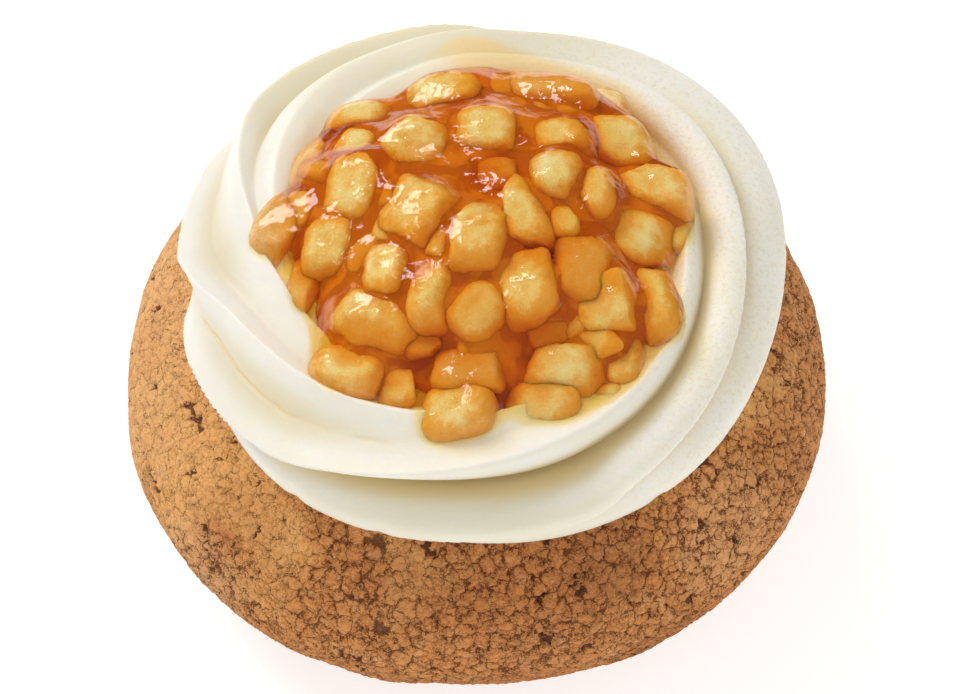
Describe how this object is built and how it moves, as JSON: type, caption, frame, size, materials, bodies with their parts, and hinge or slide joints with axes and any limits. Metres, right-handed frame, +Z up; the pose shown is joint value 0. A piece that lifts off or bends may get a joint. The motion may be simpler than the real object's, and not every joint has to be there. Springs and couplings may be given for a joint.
{
  "type": "cream puff",
  "caption": "Round choux bun with a cracked sugar crust, topped with a ring-shaped swirl of piped cream that holds a heap of glazed diced fruit",
  "frame": {"origin": "centre of the bottom, on the surface the bun rests on", "axes": "+Z up, -Y towards the viewer of the picture, +X to the viewer's right"},
  "size_m": [0.0796, 0.0792, 0.0562],
  "materials": {
    "sugar_crust": "dry, cracked, golden brown",
    "whipped_cream": "soft satin, ivory",
    "glazed_fruit": "wet amber glaze over pale fruit"
  },
  "bodies": {
    "root": {"choux_bun": "sugar_crust", "cream_swirl": "whipped_cream", "fruit_heap": "glazed_fruit"}
  },
  "joints": []
}
